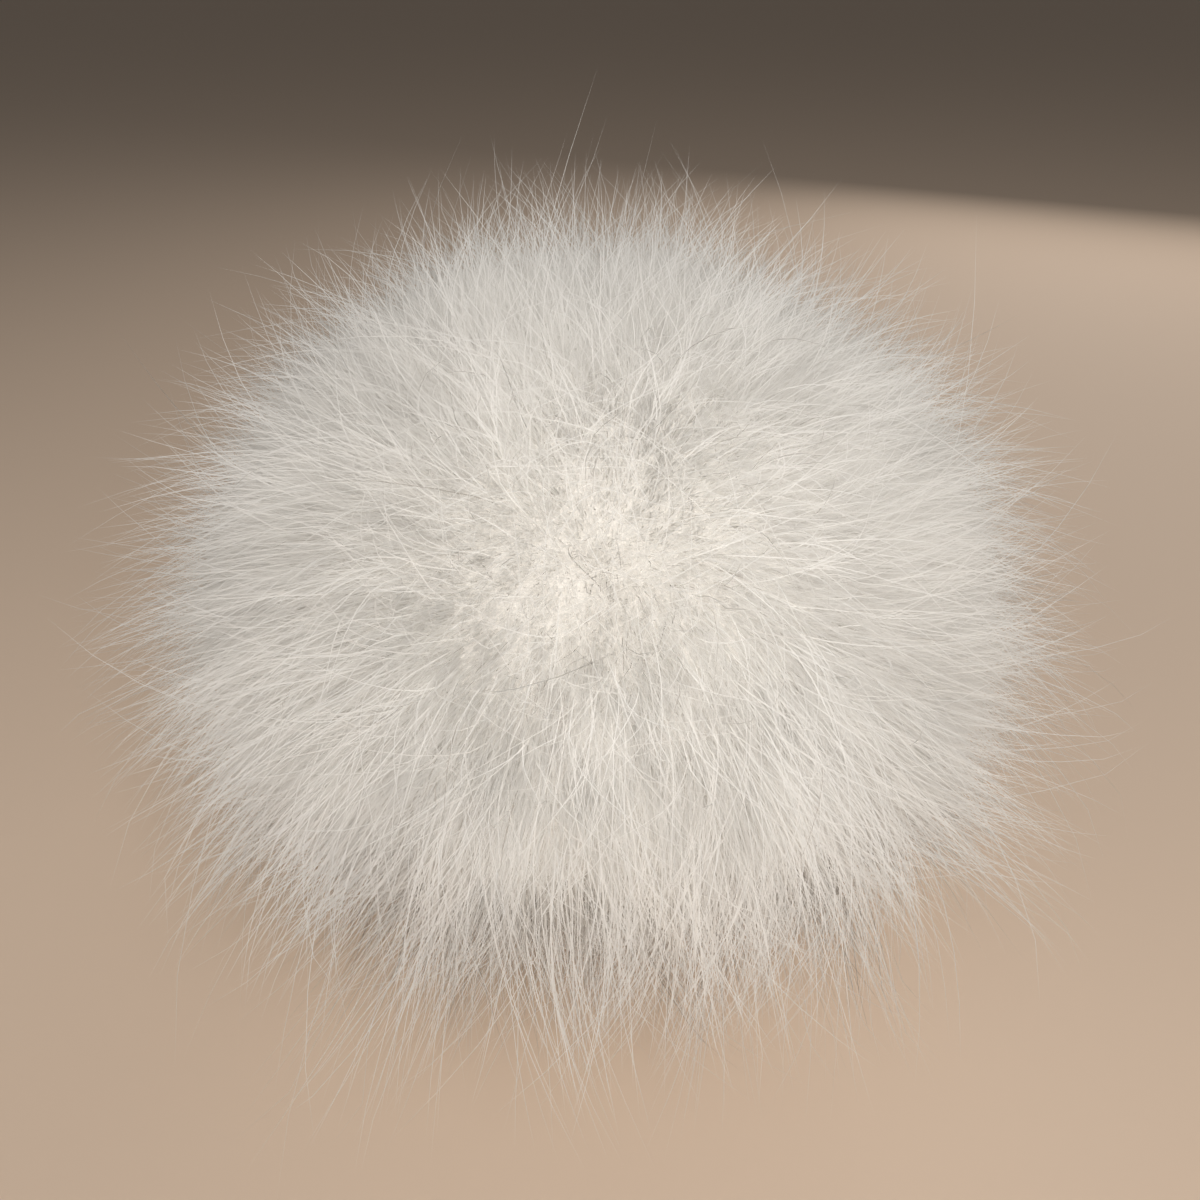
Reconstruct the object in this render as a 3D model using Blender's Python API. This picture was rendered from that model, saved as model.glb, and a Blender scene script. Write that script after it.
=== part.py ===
"""Fur pom pom: one round ball of long, dense fur that rests on its own soft underside.

The fur grows outwards from the middle of the ball in every direction. The solid is the ball that
the fur fills, out to the usual length of the longer hairs, with its coarse locks standing a little
proud and the fur pressed flat where the ball rests. Lengths are in metres and +Z is up. The origin
is on the surface that the ball rests on, under the middle of the ball.
"""

import math

import bmesh
import bpy
from mathutils import Vector

FUR_WIDTH = 0.1315          # across the ball, over the hollows between its locks
FUR_HEIGHT = 0.1190         # from the rest spot to the top, over the hollows between the locks
REST_SPOT_WIDTH = 0.050     # flat spot under the ball
SPHERE_CUTS = 5             # subdivisions of the ball's sphere, which give 5120 triangles

LOCK_COUNT = 132            # coarse locks over the whole ball
LOCK_RISE = 0.0062          # how far the tip of a lock stands proud
LOCK_UNEVENNESS = 0.35      # share by which the locks differ in length
LOCK_SPREAD = math.radians(10.5)    # half-angle that one lock covers, seen from the middle
LOCK_POINT = 1.25           # 1 is a straight cone, and more draws the tip out finer
LOCK_DROOP = 0.30           # how far a tip sinks, as a share of the lock's rise

GOLDEN_ANGLE = math.radians(137.50776)
LOCK_RHYTHM = 2.4           # steps the unevenness from one lock to the next

# Fuller and flatter places. The azimuth runs anticlockwise from +X seen from above, the
# elevation is above the ball's middle, and the spread is a half-angle from the middle.
SWELL_COLUMNS = ("azimuth", "elevation", "spread", "swell")
SWELLS = (
    (-38.0, -26.0, 46.0, 0.0036),
    (-100.0, -30.0, 34.0, 0.0020),
    (-158.0, 6.0, 38.0, 0.0016),
    (-70.0, 34.0, 40.0, -0.0012),
    (12.0, 20.0, 30.0, 0.0014),
    (62.0, -8.0, 36.0, 0.0022),
    (118.0, 30.0, 42.0, 0.0012),
    (160.0, -32.0, 34.0, 0.0018),
)

FUR_COLOUR = (0.86, 0.83, 0.77, 1.0)
FUR_ROUGHNESS = 0.85


def clear_scene():
    """Removes the objects that a new file comes with."""
    for scene_object in list(bpy.data.objects):
        bpy.data.objects.remove(scene_object)


def direction(azimuth, elevation):
    """Gives the unit vector at an azimuth and an elevation in radians."""
    level = math.cos(elevation)
    return Vector((level * math.cos(azimuth), level * math.sin(azimuth), math.sin(elevation)))


def lock_table():
    """Spreads the locks evenly over the ball and gives each one its rise."""
    locks = []
    for number in range(LOCK_COUNT):
        height = 1.0 - 2.0 * (number + 0.5) / LOCK_COUNT
        unevenness = LOCK_UNEVENNESS * math.sin(LOCK_RHYTHM * number)
        tip = direction(GOLDEN_ANGLE * number, math.asin(height))
        locks.append((tip, LOCK_RISE * (1.0 + unevenness)))
    return locks


def swell_at(outward):
    """Adds up what the fuller and flatter places do to the ball in one direction."""
    total = 0.0
    for row in SWELLS:
        place = dict(zip(SWELL_COLUMNS, row))
        middle = direction(math.radians(place["azimuth"]), math.radians(place["elevation"]))
        turn = outward.angle(middle) / math.radians(place["spread"])
        if turn < 1.0:
            total += place["swell"] * 0.5 * (1.0 + math.cos(math.pi * turn))
    return total


def lock_rise_at(outward, locks):
    """Gives the rise of the lock that stands highest in one direction."""
    rise = 0.0
    for tip, full_rise in locks:
        share = 1.0 - outward.angle(tip) / LOCK_SPREAD
        if share > 0.0:
            rise = max(rise, full_rise * share ** LOCK_POINT)
    return rise


def fur_material():
    """White fur."""
    material = bpy.data.materials.new("fur")
    material.use_nodes = True
    shader = material.node_tree.nodes["Principled BSDF"]
    shader.inputs["Base Color"].default_value = FUR_COLOUR
    shader.inputs["Roughness"].default_value = FUR_ROUGHNESS
    shader.inputs["Metallic"].default_value = 0.0
    return material


def fur_ball(collection):
    """The ball: a sphere pressed to its width and height, with swells, locks and a flat spot."""
    half_width = FUR_WIDTH / 2.0
    spot_share = math.sqrt(1.0 - (REST_SPOT_WIDTH / FUR_WIDTH) ** 2)
    half_height = FUR_HEIGHT / (1.0 + spot_share)
    middle_height = FUR_HEIGHT - half_height
    locks = lock_table()

    shape = bmesh.new()
    bmesh.ops.create_icosphere(shape, subdivisions=SPHERE_CUTS, radius=1.0)
    for vertex in shape.verts:
        outward = vertex.co.normalized()
        dense = Vector((half_width * outward.x, half_width * outward.y, half_height * outward.z))
        rise = lock_rise_at(outward, locks)
        place = dense + outward * (swell_at(outward) + rise)
        place.z += middle_height - LOCK_DROOP * rise
        place.z = max(place.z, 0.0)
        vertex.co = place

    # The origin is under the middle of the whole width and depth.
    for axis in (0, 1):
        low = min(vertex.co[axis] for vertex in shape.verts)
        high = max(vertex.co[axis] for vertex in shape.verts)
        for vertex in shape.verts:
            vertex.co[axis] -= (low + high) / 2.0

    mesh = bpy.data.meshes.new("fur_ball")
    shape.to_mesh(mesh)
    shape.free()
    mesh.shade_smooth()
    mesh.materials.append(fur_material())
    ball = bpy.data.objects.new("fur_ball", mesh)
    collection.objects.link(ball)
    return ball


clear_scene()
pom_pom = bpy.data.collections.new("pom_pom")
bpy.context.scene.collection.children.link(pom_pom)
fur_ball(pom_pom)
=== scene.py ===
"""Looks of the fur pom pom: a ball of long white fur that lies on a pale table.

Lengths are in metres. The front of the ball is -Y and the table's top is at z = 0.
"""

import math

import bmesh
import bpy
import numpy as np
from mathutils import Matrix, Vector


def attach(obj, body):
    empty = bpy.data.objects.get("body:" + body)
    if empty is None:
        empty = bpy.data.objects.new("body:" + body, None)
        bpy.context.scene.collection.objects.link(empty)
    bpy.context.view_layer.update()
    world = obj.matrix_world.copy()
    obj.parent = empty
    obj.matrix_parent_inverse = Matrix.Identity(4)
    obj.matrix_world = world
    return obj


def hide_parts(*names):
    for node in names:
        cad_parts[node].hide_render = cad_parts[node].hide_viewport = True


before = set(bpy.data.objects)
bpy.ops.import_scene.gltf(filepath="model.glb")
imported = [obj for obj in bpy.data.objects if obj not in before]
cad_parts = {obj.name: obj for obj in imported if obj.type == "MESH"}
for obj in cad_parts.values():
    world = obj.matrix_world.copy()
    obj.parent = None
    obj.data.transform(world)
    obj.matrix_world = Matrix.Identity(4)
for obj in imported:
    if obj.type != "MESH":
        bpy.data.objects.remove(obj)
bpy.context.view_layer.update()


# ---------------------------------------------------------------------------
# Camera. It is held close above the front of the ball, looking down at it.
# ---------------------------------------------------------------------------
BALL_MIDDLE = Vector((0.0, 0.0, 0.0525))
CAMERA_DISTANCE = 0.186
CAMERA_PITCH = math.radians(29.0)
CAMERA_LENS_MM = 35.0
CAMERA_AIM_RISE = 0.0016

camera_data = bpy.data.cameras.new("camera")
camera_data.lens = CAMERA_LENS_MM
camera_data.sensor_width = 36.0
camera_data.clip_start = 0.005
camera = bpy.data.objects.new("camera", camera_data)
bpy.context.collection.objects.link(camera)
camera_back = Vector((0.0, -math.cos(CAMERA_PITCH), math.sin(CAMERA_PITCH)))
camera_up = Vector((0.0, math.sin(CAMERA_PITCH), math.cos(CAMERA_PITCH)))
camera.location = BALL_MIDDLE + camera_up * CAMERA_AIM_RISE + camera_back * CAMERA_DISTANCE
camera.rotation_euler = (math.radians(90.0) - CAMERA_PITCH, 0.0, 0.0)
bpy.context.scene.camera = camera


# ---------------------------------------------------------------------------
# Underfur. Short, very fine and dense white hair, which grows out of the heart all round. Its
# ends cling together in small pointed locks, which lean a little this way and that and sag under
# their own weight. Low down they hang in larger bunches, and some are pressed on the table.
# ---------------------------------------------------------------------------
FUR_HALF_WIDTH = 0.0608         # middle of the ball to the even top of the fur, sideways
FUR_HALF_HEIGHT = 0.0552        # and up and down, before it sinks
FUR_WAVES = ((0.014, 4.0, 41), (0.010, 13.0, 42))   # share, pitch, seed
SAG = 0.075                     # how far the fur sinks by its weight, as a share of its radius
TUCK = 0.15                     # how far the fur draws in low down, as a share
TUCK_FROM = (0.30, 0.85)        # sines of the slopes where that starts and is full
FOOT_FROM = (0.85, 0.98)        # and where it ends again, for the fur that the ball rests on
HANG_FROM = (-0.10, 0.45)       # the same for hair that hangs in bunches
ROOT_SHARE = 0.845              # where hair leaves the heart of the ball
LONGEST_HAIR = 1.26
EVEN_REACH = 0.074              # hair that reaches further out from the axis is drawn in,
MOST_REACH = 0.0825             # and none passes this
BUNCHES = 1150                  # pointed bunches that the hanging hair gathers in
SHORTER = 0.05                  # how much hanging hair is shortened, as a share
MUCH_SHORTER = 0.13             # and how much more for some of it
MUCH_SHORTER_PART = 0.55
SPLAY = 0.35                    # how far pressed hair slips outwards over the table
PRESSED_DEPTH = 0.005           # how thick pressed hair lies
TABLE_GAP = 0.0004
FUR_MIDDLE = np.array(BALL_MIDDLE) + np.array((0.0, 0.0, SAG * FUR_HALF_WIDTH))
FACING = np.array((0.0, -0.875, 0.485))   # the way the flat of the hair is turned
LOOSE_FROM = 0.3                # cosine from where it turns more freely, on to the far side
LOOSE_BEHIND = 1.2              # and how freely at most
SKY_LIFT = np.array((0.0, -0.10, 0.174))   # shading of hair leans to the light from above
TIP_WIDTH = 0.15                # width of a hair just before its tip, as a share
MAP_EDGE = 0.01                 # border of the map that is left free
MAP_HALF = 0.004                # half of a hair's width on the map
GOLDEN_ANGLE = math.radians(137.50776)

# Fuller and flatter places, as on the solid.
SWELLS = (
    # azimuth, elevation, spread, swell
    (-38.0, -26.0, 46.0, 0.0036),
    (-100.0, -30.0, 34.0, 0.0020),
    (-158.0, 6.0, 38.0, 0.0016),
    (-70.0, 34.0, 40.0, -0.0012),
    (12.0, 20.0, 30.0, 0.0014),
    (62.0, -8.0, 36.0, 0.0022),
    (118.0, 30.0, 42.0, 0.0012),
    (160.0, -32.0, 34.0, 0.0018),
)


def unit(vectors):
    """Scales each vector to a length of 1."""
    return vectors / np.maximum(np.linalg.norm(vectors, axis=-1, keepdims=True), 1e-12)


def spread_directions(count):
    """Spreads directions evenly round the ball."""
    number = np.arange(count)
    height = 1.0 - 2.0 * (number + 0.5) / count
    level = np.sqrt(1.0 - height ** 2)
    azimuth = GOLDEN_ANGLE * number
    return np.stack((level * np.cos(azimuth), level * np.sin(azimuth), height), axis=-1)


RIPPLE_WAVES = 16


def ripples(outward, pitch, seed):
    """Soft unevenness of about -1 to 1. The pitch is how tightly its waves follow each other."""
    draw = np.random.default_rng(seed)
    rise = np.zeros(len(outward))
    for _ in range(RIPPLE_WAVES):
        along = unit(draw.normal(size=3))
        phase = draw.uniform(0.0, 2.0 * np.pi)
        rise += np.sin(pitch * draw.uniform(0.6, 1.4) * (outward @ along) + phase)
    return rise / math.sqrt(RIPPLE_WAVES)


def below(outward, start, full):
    """Goes from 0 to 1 as a direction drops from start to full, both sines of its slope."""
    low = np.clip((-outward[:, 2] - start) / (full - start), 0.0, 1.0)
    return low * low * (3.0 - 2.0 * low)


def fur_radius(outward):
    """Gives the radius of the even top of the fur in each direction."""
    half = np.array((FUR_HALF_WIDTH, FUR_HALF_WIDTH, FUR_HALF_HEIGHT))
    radius = 1.0 / np.linalg.norm(outward / half, axis=-1)
    for azimuth, elevation, spread, swell in SWELLS:
        level = math.cos(math.radians(elevation))
        middle = np.array((
            level * math.cos(math.radians(azimuth)),
            level * math.sin(math.radians(azimuth)),
            math.sin(math.radians(elevation)),
        ))
        turn = np.arccos(np.clip(outward @ middle, -1.0, 1.0)) / math.radians(spread)
        radius += swell * 0.5 * (1.0 + np.cos(np.pi * np.clip(turn, 0.0, 1.0)))
    radius *= 1.0 + sum(share * ripples(outward, pitch, seed) for share, pitch, seed in FUR_WAVES)
    tuck = below(outward, *TUCK_FROM) - below(outward, *FOOT_FROM)
    return radius * (1.0 - TUCK * tuck)


LEAN_WAVES = 12


def smooth_lean(outward, pitch, seed):
    """A gentle sideways lean that changes smoothly from place to place on the ball."""
    draw = np.random.default_rng(seed)
    lean = np.zeros_like(outward)
    for _ in range(LEAN_WAVES):
        along = unit(draw.normal(size=3))
        push = draw.normal(size=3)
        phase = draw.uniform(0.0, 2.0 * np.pi)
        wave = np.sin(pitch * (outward @ along) + phase)
        lean += wave[:, None] * push
    lean /= math.sqrt(LEAN_WAVES)
    return lean - outward * np.sum(lean * outward, axis=-1, keepdims=True)


# How hair scatters. Spreads are shares of the same thing's usual size.
WIDE_LEAN = (6.0, 11)           # pitch and seed of the lean that whole areas share
CLOSE_LEAN = (24.0, 12)         # and of the one that a few locks share
LENGTH_LEAN = (16.0, 13)        # and of the waves in the length of the locks
CLOSE_SHARE = 0.5
BUNCH_SCATTER = 0.03
BUNCH_OWN_LEAN = 0.8
BUNCH_BEND = 0.30
BUNCH_LENGTH_SPREAD = 1.2
LOCK_SCATTER = 0.3              # of the space between two locks
LOCK_OWN_LEAN = 0.5
LOCK_LENGTH_SPREAD = 0.6
LOCK_LENGTH_WAVES = 0.2
HAIR_LENGTH_SPREAD = 0.7
LEAST_GATHER = 0.3              # how far hair that clings to nothing still gathers in bunches
CLING_LATE = 1.4                # powers: the higher, the nearer to its tip a hair turns
GATHER_LATE = 1.2
LEAN_LATE = 1.7
BEND_LATE = 2

bunch_draw = np.random.default_rng(31)
bunch_way = spread_directions(BUNCHES)
bunch_way = unit(bunch_way + bunch_draw.normal(scale=BUNCH_SCATTER, size=bunch_way.shape))
bunch_lean = smooth_lean(bunch_way, *WIDE_LEAN)
bunch_lean = bunch_lean + BUNCH_OWN_LEAN * bunch_draw.normal(size=bunch_way.shape)
bunch_bend = bunch_draw.normal(size=bunch_way.shape)
bunch_length = bunch_draw.normal(size=BUNCHES)


def hair_paths(draw, count, locks, joints, tip, tip_spread, cling, lean, bend, wave, scatter,
               lowest=-90.0, highest=90.0, droop=0.12):
    """Works out the line that each hair follows, from deep in the ball to its tip.

    locks is how many locks the hairs share, joints how many points a line has, and tip the
    share of the fur's radius where hairs end, give or take tip_spread. cling is how far a hair
    turns to its lock, lean how far the lock leans, bend and wave how much a hair curves by
    itself, scatter how far its root stands from the lock, and droop how far it sinks. The hairs
    grow from between the lowest and highest elevation, in degrees. Those that hang low gather in
    bunches as well.
    """
    lock_way = spread_directions(locks)
    spacing = math.sqrt(4.0 * math.pi / locks)
    lift = np.degrees(np.arcsin(lock_way[:, 2]))
    lock_way = lock_way[(lift >= lowest) & (lift <= highest)]
    locks = len(lock_way)
    lock_way = unit(lock_way + draw.normal(scale=LOCK_SCATTER * spacing, size=lock_way.shape))
    lock_bunch = np.argmax(lock_way @ bunch_way.T, axis=-1)
    hang = below(lock_way, *HANG_FROM)
    lock_length = LOCK_LENGTH_SPREAD * draw.normal(size=locks) * (1.0 - hang)
    lock_length += LOCK_LENGTH_WAVES * np.sum(smooth_lean(lock_way, *LENGTH_LEAN), axis=-1)
    lock_length += BUNCH_LENGTH_SPREAD * bunch_length[lock_bunch] * hang
    free_lean = smooth_lean(lock_way, *WIDE_LEAN)
    free_lean += CLOSE_SHARE * smooth_lean(lock_way, *CLOSE_LEAN)
    free_lean += LOCK_OWN_LEAN * draw.normal(size=lock_way.shape)
    lock_lean = free_lean + (bunch_lean[lock_bunch] - free_lean) * hang[:, None]

    member = draw.integers(0, locks, count)
    way = lock_way[member]
    start_way = unit(way + draw.normal(scale=scatter * spacing, size=way.shape))
    end_way = bunch_way[lock_bunch[member]]
    end_bend = bunch_bend[lock_bunch[member]] * (BUNCH_BEND * hang[member])[:, None]
    gather = min(1.0, LEAST_GATHER + cling) * hang[member] * draw.uniform(0.7, 0.98, count)
    radius = fur_radius(start_way)
    own_length = HAIR_LENGTH_SPREAD * draw.normal(size=count)
    length_share = tip + tip_spread * (lock_length[member] + own_length)
    short = SHORTER + MUCH_SHORTER * (draw.uniform(size=count) < MUCH_SHORTER_PART)
    length_share = np.minimum(length_share - short * hang[member], LONGEST_HAIR)
    whole = radius * (length_share - ROOT_SHARE)
    hair_cling = cling * draw.uniform(0.25, 1.0, count)
    sideways = unit(np.cross(start_way, unit(draw.normal(size=way.shape))))
    second = np.cross(start_way, sideways)
    hair_bend = bend * draw.normal(size=count)
    wave_turns = draw.uniform(0.7, 1.6, count)
    wave_phase = draw.uniform(0.0, 2.0 * np.pi, count)
    wave_size = wave * np.abs(draw.normal(size=count))
    downward = np.array((0.0, 0.0, -1.0)) + start_way * start_way[:, 2:]
    table_height = TABLE_GAP + PRESSED_DEPTH * draw.uniform(0.0, 1.0, count) ** 2

    places = []
    for share in np.linspace(0.0, 1.0, joints):
        toward = (hair_cling * share ** CLING_LATE)[:, None]
        heading = unit(start_way * (1.0 - toward) + way * toward)
        toward = (gather * share ** GATHER_LATE)[:, None]
        heading = unit(heading * (1.0 - toward) + end_way * toward)
        reach = radius * ROOT_SHARE + whole * share
        place = heading * reach[:, None]
        place += lock_lean[member] * (lean * whole * share ** LEAN_LATE)[:, None]
        place += (sideways * hair_bend[:, None] + end_bend) * (whole * share ** BEND_LATE)[:, None]
        place += downward * (droop * whole * share ** BEND_LATE)[:, None]
        swing = np.sin(2.0 * np.pi * wave_turns * share + wave_phase) - np.sin(wave_phase)
        place += second * (wave_size * swing * share)[:, None]
        place[:, 2] -= SAG * FUR_HALF_WIDTH * (reach / FUR_HALF_WIDTH) ** 2
        place += FUR_MIDDLE
        under = np.maximum(table_height - place[:, 2], 0.0)
        place[:, 2] += under
        level = unit(start_way * np.array((1.0, 1.0, 0.0)))
        place += level * (SPLAY * under)[:, None]
        out = np.linalg.norm(place[:, :2], axis=-1)
        room = MOST_REACH - EVEN_REACH
        drawn = EVEN_REACH + room * np.tanh(np.maximum(out - EVEN_REACH, 0.0) / room)
        place[:, :2] *= (np.where(out > EVEN_REACH, drawn, out) / np.maximum(out, 1e-9))[:, None]
        places.append(place)
    return np.stack(places, axis=1)


def flat_hairs(name, paths, width, tint, draw, roll, own_face):
    """Joins one flat, pointed strip along each path into one mesh.

    Across, the map holds each hair's tint, and along, how far a point is from root to tip. roll
    is how far a strip turns from the front at random. Each strip is shaded mostly as the ball is
    there, and by own_face as its own face asks.
    """
    count, joints, _ = paths.shape
    along = unit(np.gradient(paths, axis=1))
    outward = unit(paths - FUR_MIDDLE)
    behind = np.clip(LOOSE_FROM - outward[:, :1] @ FACING, 0.0, 1.0)[..., None]
    turn = (roll + LOOSE_BEHIND * behind) * draw.normal(size=(count, 1, 3))
    across = unit(np.cross(along, FACING + turn))
    face = np.cross(across, along)
    share = np.linspace(0.0, 1.0, joints)
    taper = (1.0 - share ** 1.6) * (1.0 - TIP_WIDTH) + TIP_WIDTH
    half = 0.5 * width[:, None] * taper[None, :]
    left = paths - across * half[..., None]
    right = paths + across * half[..., None]
    sides = np.stack((left, right), axis=2)[:, :-1]
    points = np.concatenate((sides.reshape(count, -1, 3), paths[:, -1:]), axis=1)
    each = points.shape[1]

    quads = joints - 2
    first = 2 * np.arange(quads)
    quad_corners = np.stack((first, first + 1, first + 3, first + 2), axis=-1).reshape(-1)
    corners = np.concatenate((quad_corners, (each - 3, each - 2, each - 1)))
    all_corners = (corners[None, :] + each * np.arange(count)[:, None]).reshape(-1)
    sizes = np.concatenate((np.full(quads, 4), (3,)))
    starts = np.concatenate(((0,), np.cumsum(sizes)[:-1]))
    all_starts = (starts[None, :] + len(corners) * np.arange(count)[:, None]).reshape(-1)

    mesh = bpy.data.meshes.new(name)
    mesh.vertices.add(count * each)
    mesh.vertices.foreach_set("co", points.astype(np.float32).reshape(-1))
    mesh.loops.add(len(all_corners))
    mesh.loops.foreach_set("vertex_index", all_corners.astype(np.int32))
    mesh.polygons.add(len(all_starts))
    mesh.polygons.foreach_set("loop_start", all_starts.astype(np.int32))
    mesh.update(calc_edges=True)
    mesh.validate()

    side = np.where(np.arange(each) % 2 == 0, -MAP_HALF, MAP_HALF)
    side[-1] = 0.0
    height = np.concatenate((np.repeat(share[:-1], 2), (1.0,)))
    map_size = 1.0 - 2.0 * MAP_EDGE
    u = MAP_EDGE + map_size * np.clip(tint[:, None] + side[None, :], 0.0, 1.0)
    v = np.broadcast_to(MAP_EDGE + map_size * height[None, :], u.shape)
    uv = np.stack((u, v), axis=-1).reshape(-1, 2)
    layer = mesh.uv_layers.new(name="OFBake")
    layer.data.foreach_set("uv", uv[all_corners].astype(np.float32).reshape(-1))
    mesh.polygons.foreach_set("use_smooth", np.ones(len(all_starts), bool))
    soft = unit(outward + SKY_LIFT + own_face * face)
    side_soft = np.repeat(soft[:, :-1], 2, axis=1)
    all_soft = np.concatenate((side_soft, soft[:, -1:]), axis=1).reshape(-1, 3)
    mesh.normals_split_custom_set_from_vertices(all_soft)
    hairs = bpy.data.objects.new(name, mesh)
    bpy.context.collection.objects.link(hairs)
    return hairs


def fur_finish(name, tints, lengths, roughness, see_through):
    """White hair. tints go from the darkest hair, whose grey is painted shade, to the creamiest,
    lengths from root to tip.
    """
    material = bpy.data.materials.new(name)
    material.use_nodes = True
    nodes = material.node_tree.nodes
    links = material.node_tree.links
    shader = nodes["Principled BSDF"]
    shader.inputs["Roughness"].default_value = roughness
    where = nodes.new("ShaderNodeUVMap")
    where.uv_map = "OFBake"
    parts = nodes.new("ShaderNodeSeparateXYZ")
    links.new(where.outputs["UV"], parts.inputs["Vector"])
    tint = nodes.new("ShaderNodeValToRGB")
    fill_ramp(tint, tints)
    links.new(parts.outputs["X"], tint.inputs["Fac"])
    length = nodes.new("ShaderNodeValToRGB")
    fill_ramp(length, lengths)
    links.new(parts.outputs["Y"], length.inputs["Fac"])
    both = nodes.new("ShaderNodeMix")
    both.data_type = "RGBA"
    both.blend_type = "MULTIPLY"
    both.inputs["Factor"].default_value = 1.0
    links.new(tint.outputs["Color"], both.inputs["A"])
    links.new(length.outputs["Color"], both.inputs["B"])
    links.new(both.outputs["Result"], shader.inputs["Base Color"])
    glow = nodes.new("ShaderNodeBsdfTranslucent")
    links.new(both.outputs["Result"], glow.inputs["Color"])
    mix = nodes.new("ShaderNodeMixShader")
    mix.inputs["Fac"].default_value = see_through
    links.new(shader.outputs["BSDF"], mix.inputs[1])
    links.new(glow.outputs["BSDF"], mix.inputs[2])
    links.new(mix.outputs["Shader"], nodes["Material Output"].inputs["Surface"])
    return material


def fill_ramp(ramp, stops):
    """Sets a ramp's colours from rows of position and colour."""
    elements = ramp.color_ramp.elements
    while len(elements) < len(stops):
        elements.new(0.5)
    for element, (position, colour) in zip(elements, stops):
        element.position = position
        element.color = (*colour, 1.0)


def as_fur(piece, material):
    """Gives a piece its finish and says that it is part of the ball."""
    piece.data.materials.append(material)
    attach(piece, "root")
    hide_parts("fur_ball")


# Roots are a little darker and creamier than the tips: painted shade deep in the fur.
ROOT_TO_TIP = ((0.0, (0.95, 0.94, 0.92)), (0.5, (1.0, 1.0, 1.0)), (1.0, (1.0, 1.0, 1.0)))
TINT_MIDDLE = 0.62
TINT_PATCHES = (0.08, 80.0, 51)           # share, pitch and seed of soft patches of tint
TINT_SPREAD = 0.13
PAINTED_SHADE_FROM = (0.10, 0.65)                   # where the underfur is painted darker towards the table, as painted shade under the ball
SHADOW_LAYERS = ("underfur_down", "underfur_low")   # shadows of the others would speckle the fur

underfur_white = fur_finish(
    "underfur_white",
    tints=(
        # The two darkest stops are reached mostly low on the ball, where they are painted shade.
        (0.0, (0.30, 0.26, 0.225)),
        (0.3, (0.76, 0.74, 0.71)),
        (0.6, (0.90, 0.89, 0.865)),
        (1.0, (0.97, 0.96, 0.94)),
    ),
    lengths=ROOT_TO_TIP,
    roughness=0.7,
    see_through=0.47,
)
UNDERFUR_LAYERS = (
    # name, count, joints, locks, tip, tip_spread, cling, lean, bend, wave, widest, painted_shade
    ("underfur_down", 150000, 2, 14000, 0.915, 0.025, 0.20, 0.05, 0.0, 0.0, 0.00016, 0.80),
    ("underfur_low", 130000, 2, 6000, 0.950, 0.035, 0.35, 0.10, 0.0, 0.0, 0.00015, 0.70),
    ("underfur_mid", 64000, 3, 3200, 0.995, 0.050, 0.50, 0.15, 0.35, 0.0003, 0.00013, 0.75),
    ("underfur_high", 28000, 5, 2200, 1.060, 0.065, 0.60, 0.16, 0.32, 0.0005, 0.00013, 0.40),
)
for number, layer in enumerate(UNDERFUR_LAYERS):
    name, count, joints, locks, tip, tip_spread, cling, lean, bend, wave, widest, painted_shade = layer
    draw = np.random.default_rng(100 + number)
    paths = hair_paths(
        draw, count, locks=locks, joints=joints, tip=tip, tip_spread=tip_spread, cling=cling,
        lean=lean, bend=bend, wave=wave, scatter=0.6)
    width = draw.uniform(0.5 * widest, widest, count)
    tip_way = unit(paths[:, -1] - FUR_MIDDLE)
    patches, pitch, seed = TINT_PATCHES
    tint = TINT_MIDDLE + patches * ripples(tip_way, pitch, seed)
    tint = tint + TINT_SPREAD * draw.normal(size=count)
    # Low down the tint is lowered: painted shade under the ball, towards the table.
    tint -= painted_shade * below(tip_way, *PAINTED_SHADE_FROM)
    underfur = flat_hairs(name, paths, width, tint, draw, roll=0.2, own_face=0.12)
    underfur.visible_shadow = name in SHADOW_LAYERS
    as_fur(underfur, underfur_white)


# ---------------------------------------------------------------------------
# Heart of the ball, where the roots stand so close that no single hair shows. What a real one is
# made of inside is not known. Here it is a soft, matt body that fills the gaps between the roots.
# ---------------------------------------------------------------------------
HEART_SHARE = 0.855             # its size, as a share of the even top of the fur
TUFT_RISE = 0.0001

heart_shape = bmesh.new()
bmesh.ops.create_icosphere(heart_shape, subdivisions=6, radius=1.0)
heart_way = unit(np.array([vertex.co for vertex in heart_shape.verts]))
tufts = ripples(heart_way, 60.0, 21) + 0.6 * ripples(heart_way, 110.0, 22)
heart_place = heart_way * (HEART_SHARE * fur_radius(heart_way) + TUFT_RISE * tufts)[:, None]
heart_place[:, 2] -= SAG * FUR_HALF_WIDTH * HEART_SHARE ** 2
heart_place += FUR_MIDDLE
heart_place[:, 2] = np.maximum(heart_place[:, 2], TABLE_GAP)
for vertex, place in zip(heart_shape.verts, heart_place):
    vertex.co = place
heart_mesh = bpy.data.meshes.new("fur_heart")
heart_shape.to_mesh(heart_mesh)
heart_shape.free()
heart_mesh.shade_smooth()
heart = bpy.data.objects.new("fur_heart", heart_mesh)
bpy.context.collection.objects.link(heart)

heart_white = bpy.data.materials.new("heart_white")
heart_white.use_nodes = True
nodes = heart_white.node_tree.nodes
links = heart_white.node_tree.links
shader = nodes["Principled BSDF"]
shader.inputs["Roughness"].default_value = 0.9
where = nodes.new("ShaderNodeTexCoord")
fluff = nodes.new("ShaderNodeTexNoise")
fluff.inputs["Scale"].default_value = 900.0
links.new(where.outputs["Object"], fluff.inputs["Vector"])
shade = nodes.new("ShaderNodeValToRGB")
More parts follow.
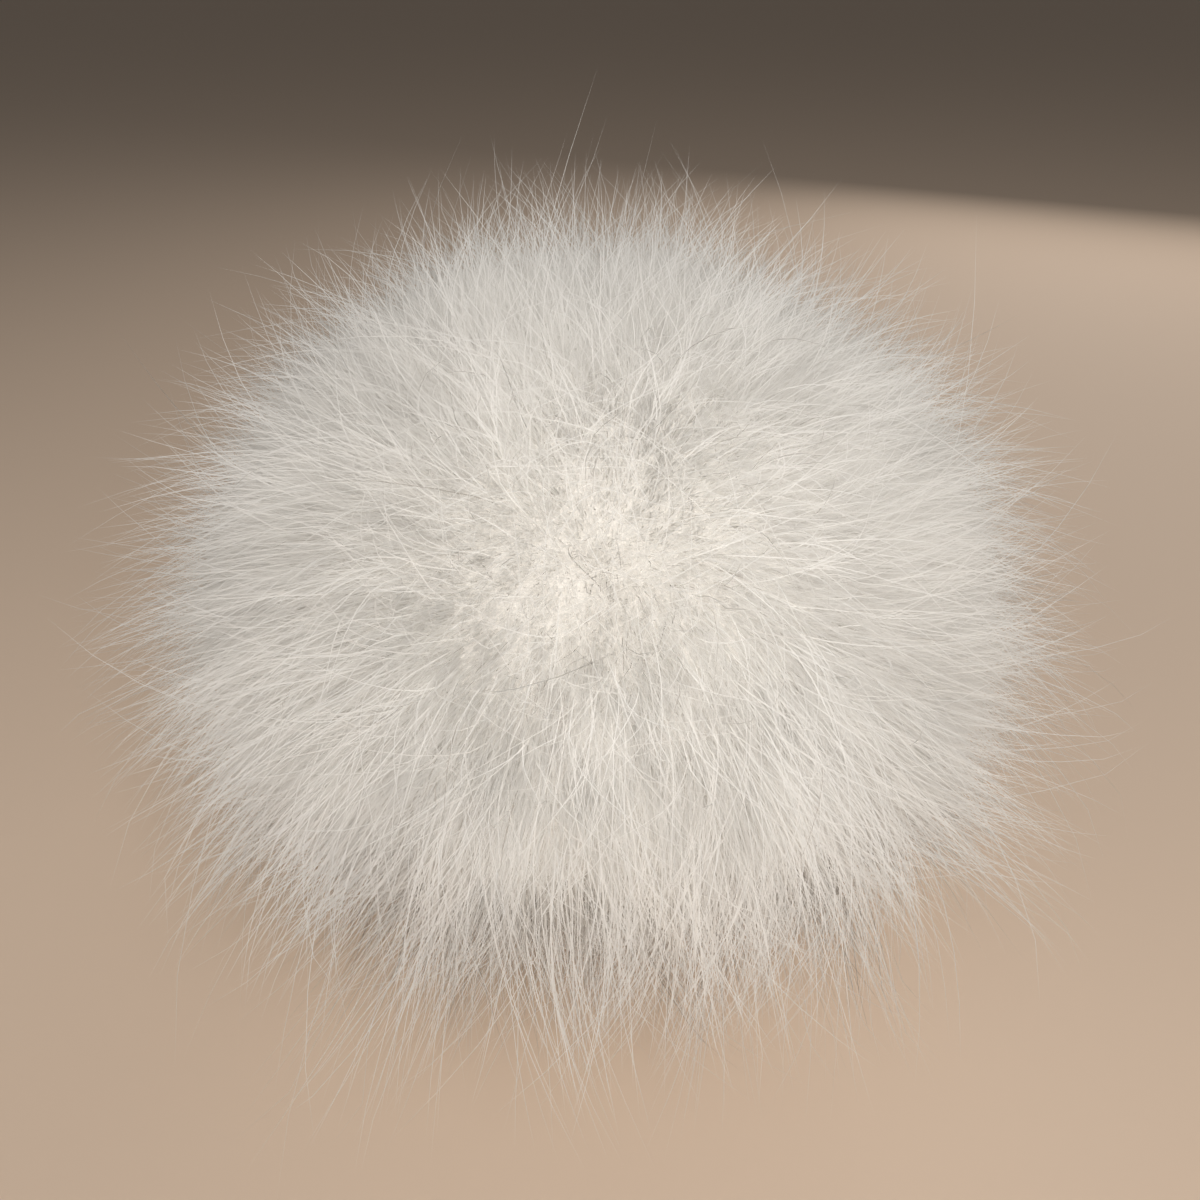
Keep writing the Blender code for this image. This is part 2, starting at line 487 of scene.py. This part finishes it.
# The heart is painted grey, darker than the hair: painted shade deep in the fur.
fill_ramp(shade, ((0.35, (0.66, 0.64, 0.61)), (0.65, (0.77, 0.75, 0.72))))
links.new(fluff.outputs["Fac"], shade.inputs["Fac"])
links.new(shade.outputs["Color"], shader.inputs["Base Color"])
bump = nodes.new("ShaderNodeBump")
bump.inputs["Strength"].default_value = 0.5
bump.inputs["Distance"].default_value = 0.0005
links.new(fluff.outputs["Fac"], bump.inputs["Height"])
links.new(bump.outputs["Normal"], shader.inputs["Normal"])
as_fur(heart, heart_white)


# ---------------------------------------------------------------------------
# Guard hairs. Longer, thicker and straighter hairs that grow between the underfur and stand out
# past it. More of them hang as a skirt low round the ball, and some lie on the table.
# ---------------------------------------------------------------------------
guard_white = fur_finish(
    "guard_white",
    # The few guard hairs with the lowest tints are grey: painted shade of hairs that lie in shadow
    # across the fur.
    tints=((0.0, (0.60, 0.59, 0.58)), (0.015, (0.90, 0.89, 0.87)), (1.0, (0.97, 0.965, 0.95))),
    lengths=ROOT_TO_TIP,
    roughness=0.35,
    see_through=0.38,
)
GUARD_COUNT = 17000
draw = np.random.default_rng(200)
paths = hair_paths(
    draw, GUARD_COUNT, locks=1500, joints=7, tip=1.14, tip_spread=0.09, cling=0.5, lean=0.20,
    bend=0.45, wave=0.0006, scatter=0.6)
width = draw.uniform(0.00009, 0.00016, GUARD_COUNT)
tint = draw.uniform(0.0, 1.0, GUARD_COUNT)
guard = flat_hairs("guard_hairs", paths, width, tint, draw, roll=0.3, own_face=0.5)
guard.visible_shadow = False
as_fur(guard, guard_white)

SKIRT_COUNT = 5000
draw = np.random.default_rng(300)
paths = hair_paths(
    draw, SKIRT_COUNT, locks=700, joints=7, tip=1.12, tip_spread=0.06, cling=0.9, lean=0.35,
    bend=0.25, wave=0.0006, scatter=0.5, lowest=-50.0, highest=-4.0, droop=0.2)
width = draw.uniform(0.00010, 0.00018, SKIRT_COUNT)
tint = draw.uniform(0.0, 1.0, SKIRT_COUNT)
skirt = flat_hairs("skirt_hairs", paths, width, tint, draw, roll=0.3, own_face=0.5)
as_fur(skirt, guard_white)


# ---------------------------------------------------------------------------
# Table top, light and surroundings. A plain, warm and pale table, one large soft lamp high in
# front, a weak one at the left and another behind the ball on the right.
# ---------------------------------------------------------------------------
bpy.ops.mesh.primitive_plane_add(size=60.0, location=(0.0, 0.0, 0.0))
table = bpy.context.object
table.name = "table"
table_finish = bpy.data.materials.new("table")
table_finish.use_nodes = True
table_finish.node_tree.nodes["Principled BSDF"].inputs["Base Color"].default_value = (
    0.70, 0.55, 0.43, 1.0)
table_finish.node_tree.nodes["Principled BSDF"].inputs["Roughness"].default_value = 0.7
table.data.materials.append(table_finish)

world = bpy.data.worlds.new("room")
bpy.context.scene.world = world
world.use_nodes = True
world.node_tree.nodes["Background"].inputs["Color"].default_value = (1.0, 0.97, 0.93, 1.0)
world.node_tree.nodes["Background"].inputs["Strength"].default_value = 0.11

# name, place, size, watts
LAMPS = (
    ("key", (0.13, -0.57, 0.52), 0.50, 4.9),
    ("fill", (-0.50, -0.34, 0.28), 0.45, 0.6),
    ("rim", (0.30, 0.50, 0.30), 0.45, 0.9),
)
for lamp_name, place, size, watts in LAMPS:
    lamp_data = bpy.data.lights.new(lamp_name, "AREA")
    lamp_data.size = size
    lamp_data.energy = watts
    lamp_data.color = (1.0, 0.96, 0.91)
    lamp = bpy.data.objects.new(lamp_name, lamp_data)
    lamp.location = place
    lamp.rotation_euler = (BALL_MIDDLE - Vector(place)).to_track_quat("-Z", "Y").to_euler()
    bpy.context.collection.objects.link(lamp)

bpy.context.scene.view_settings.view_transform = "Standard"
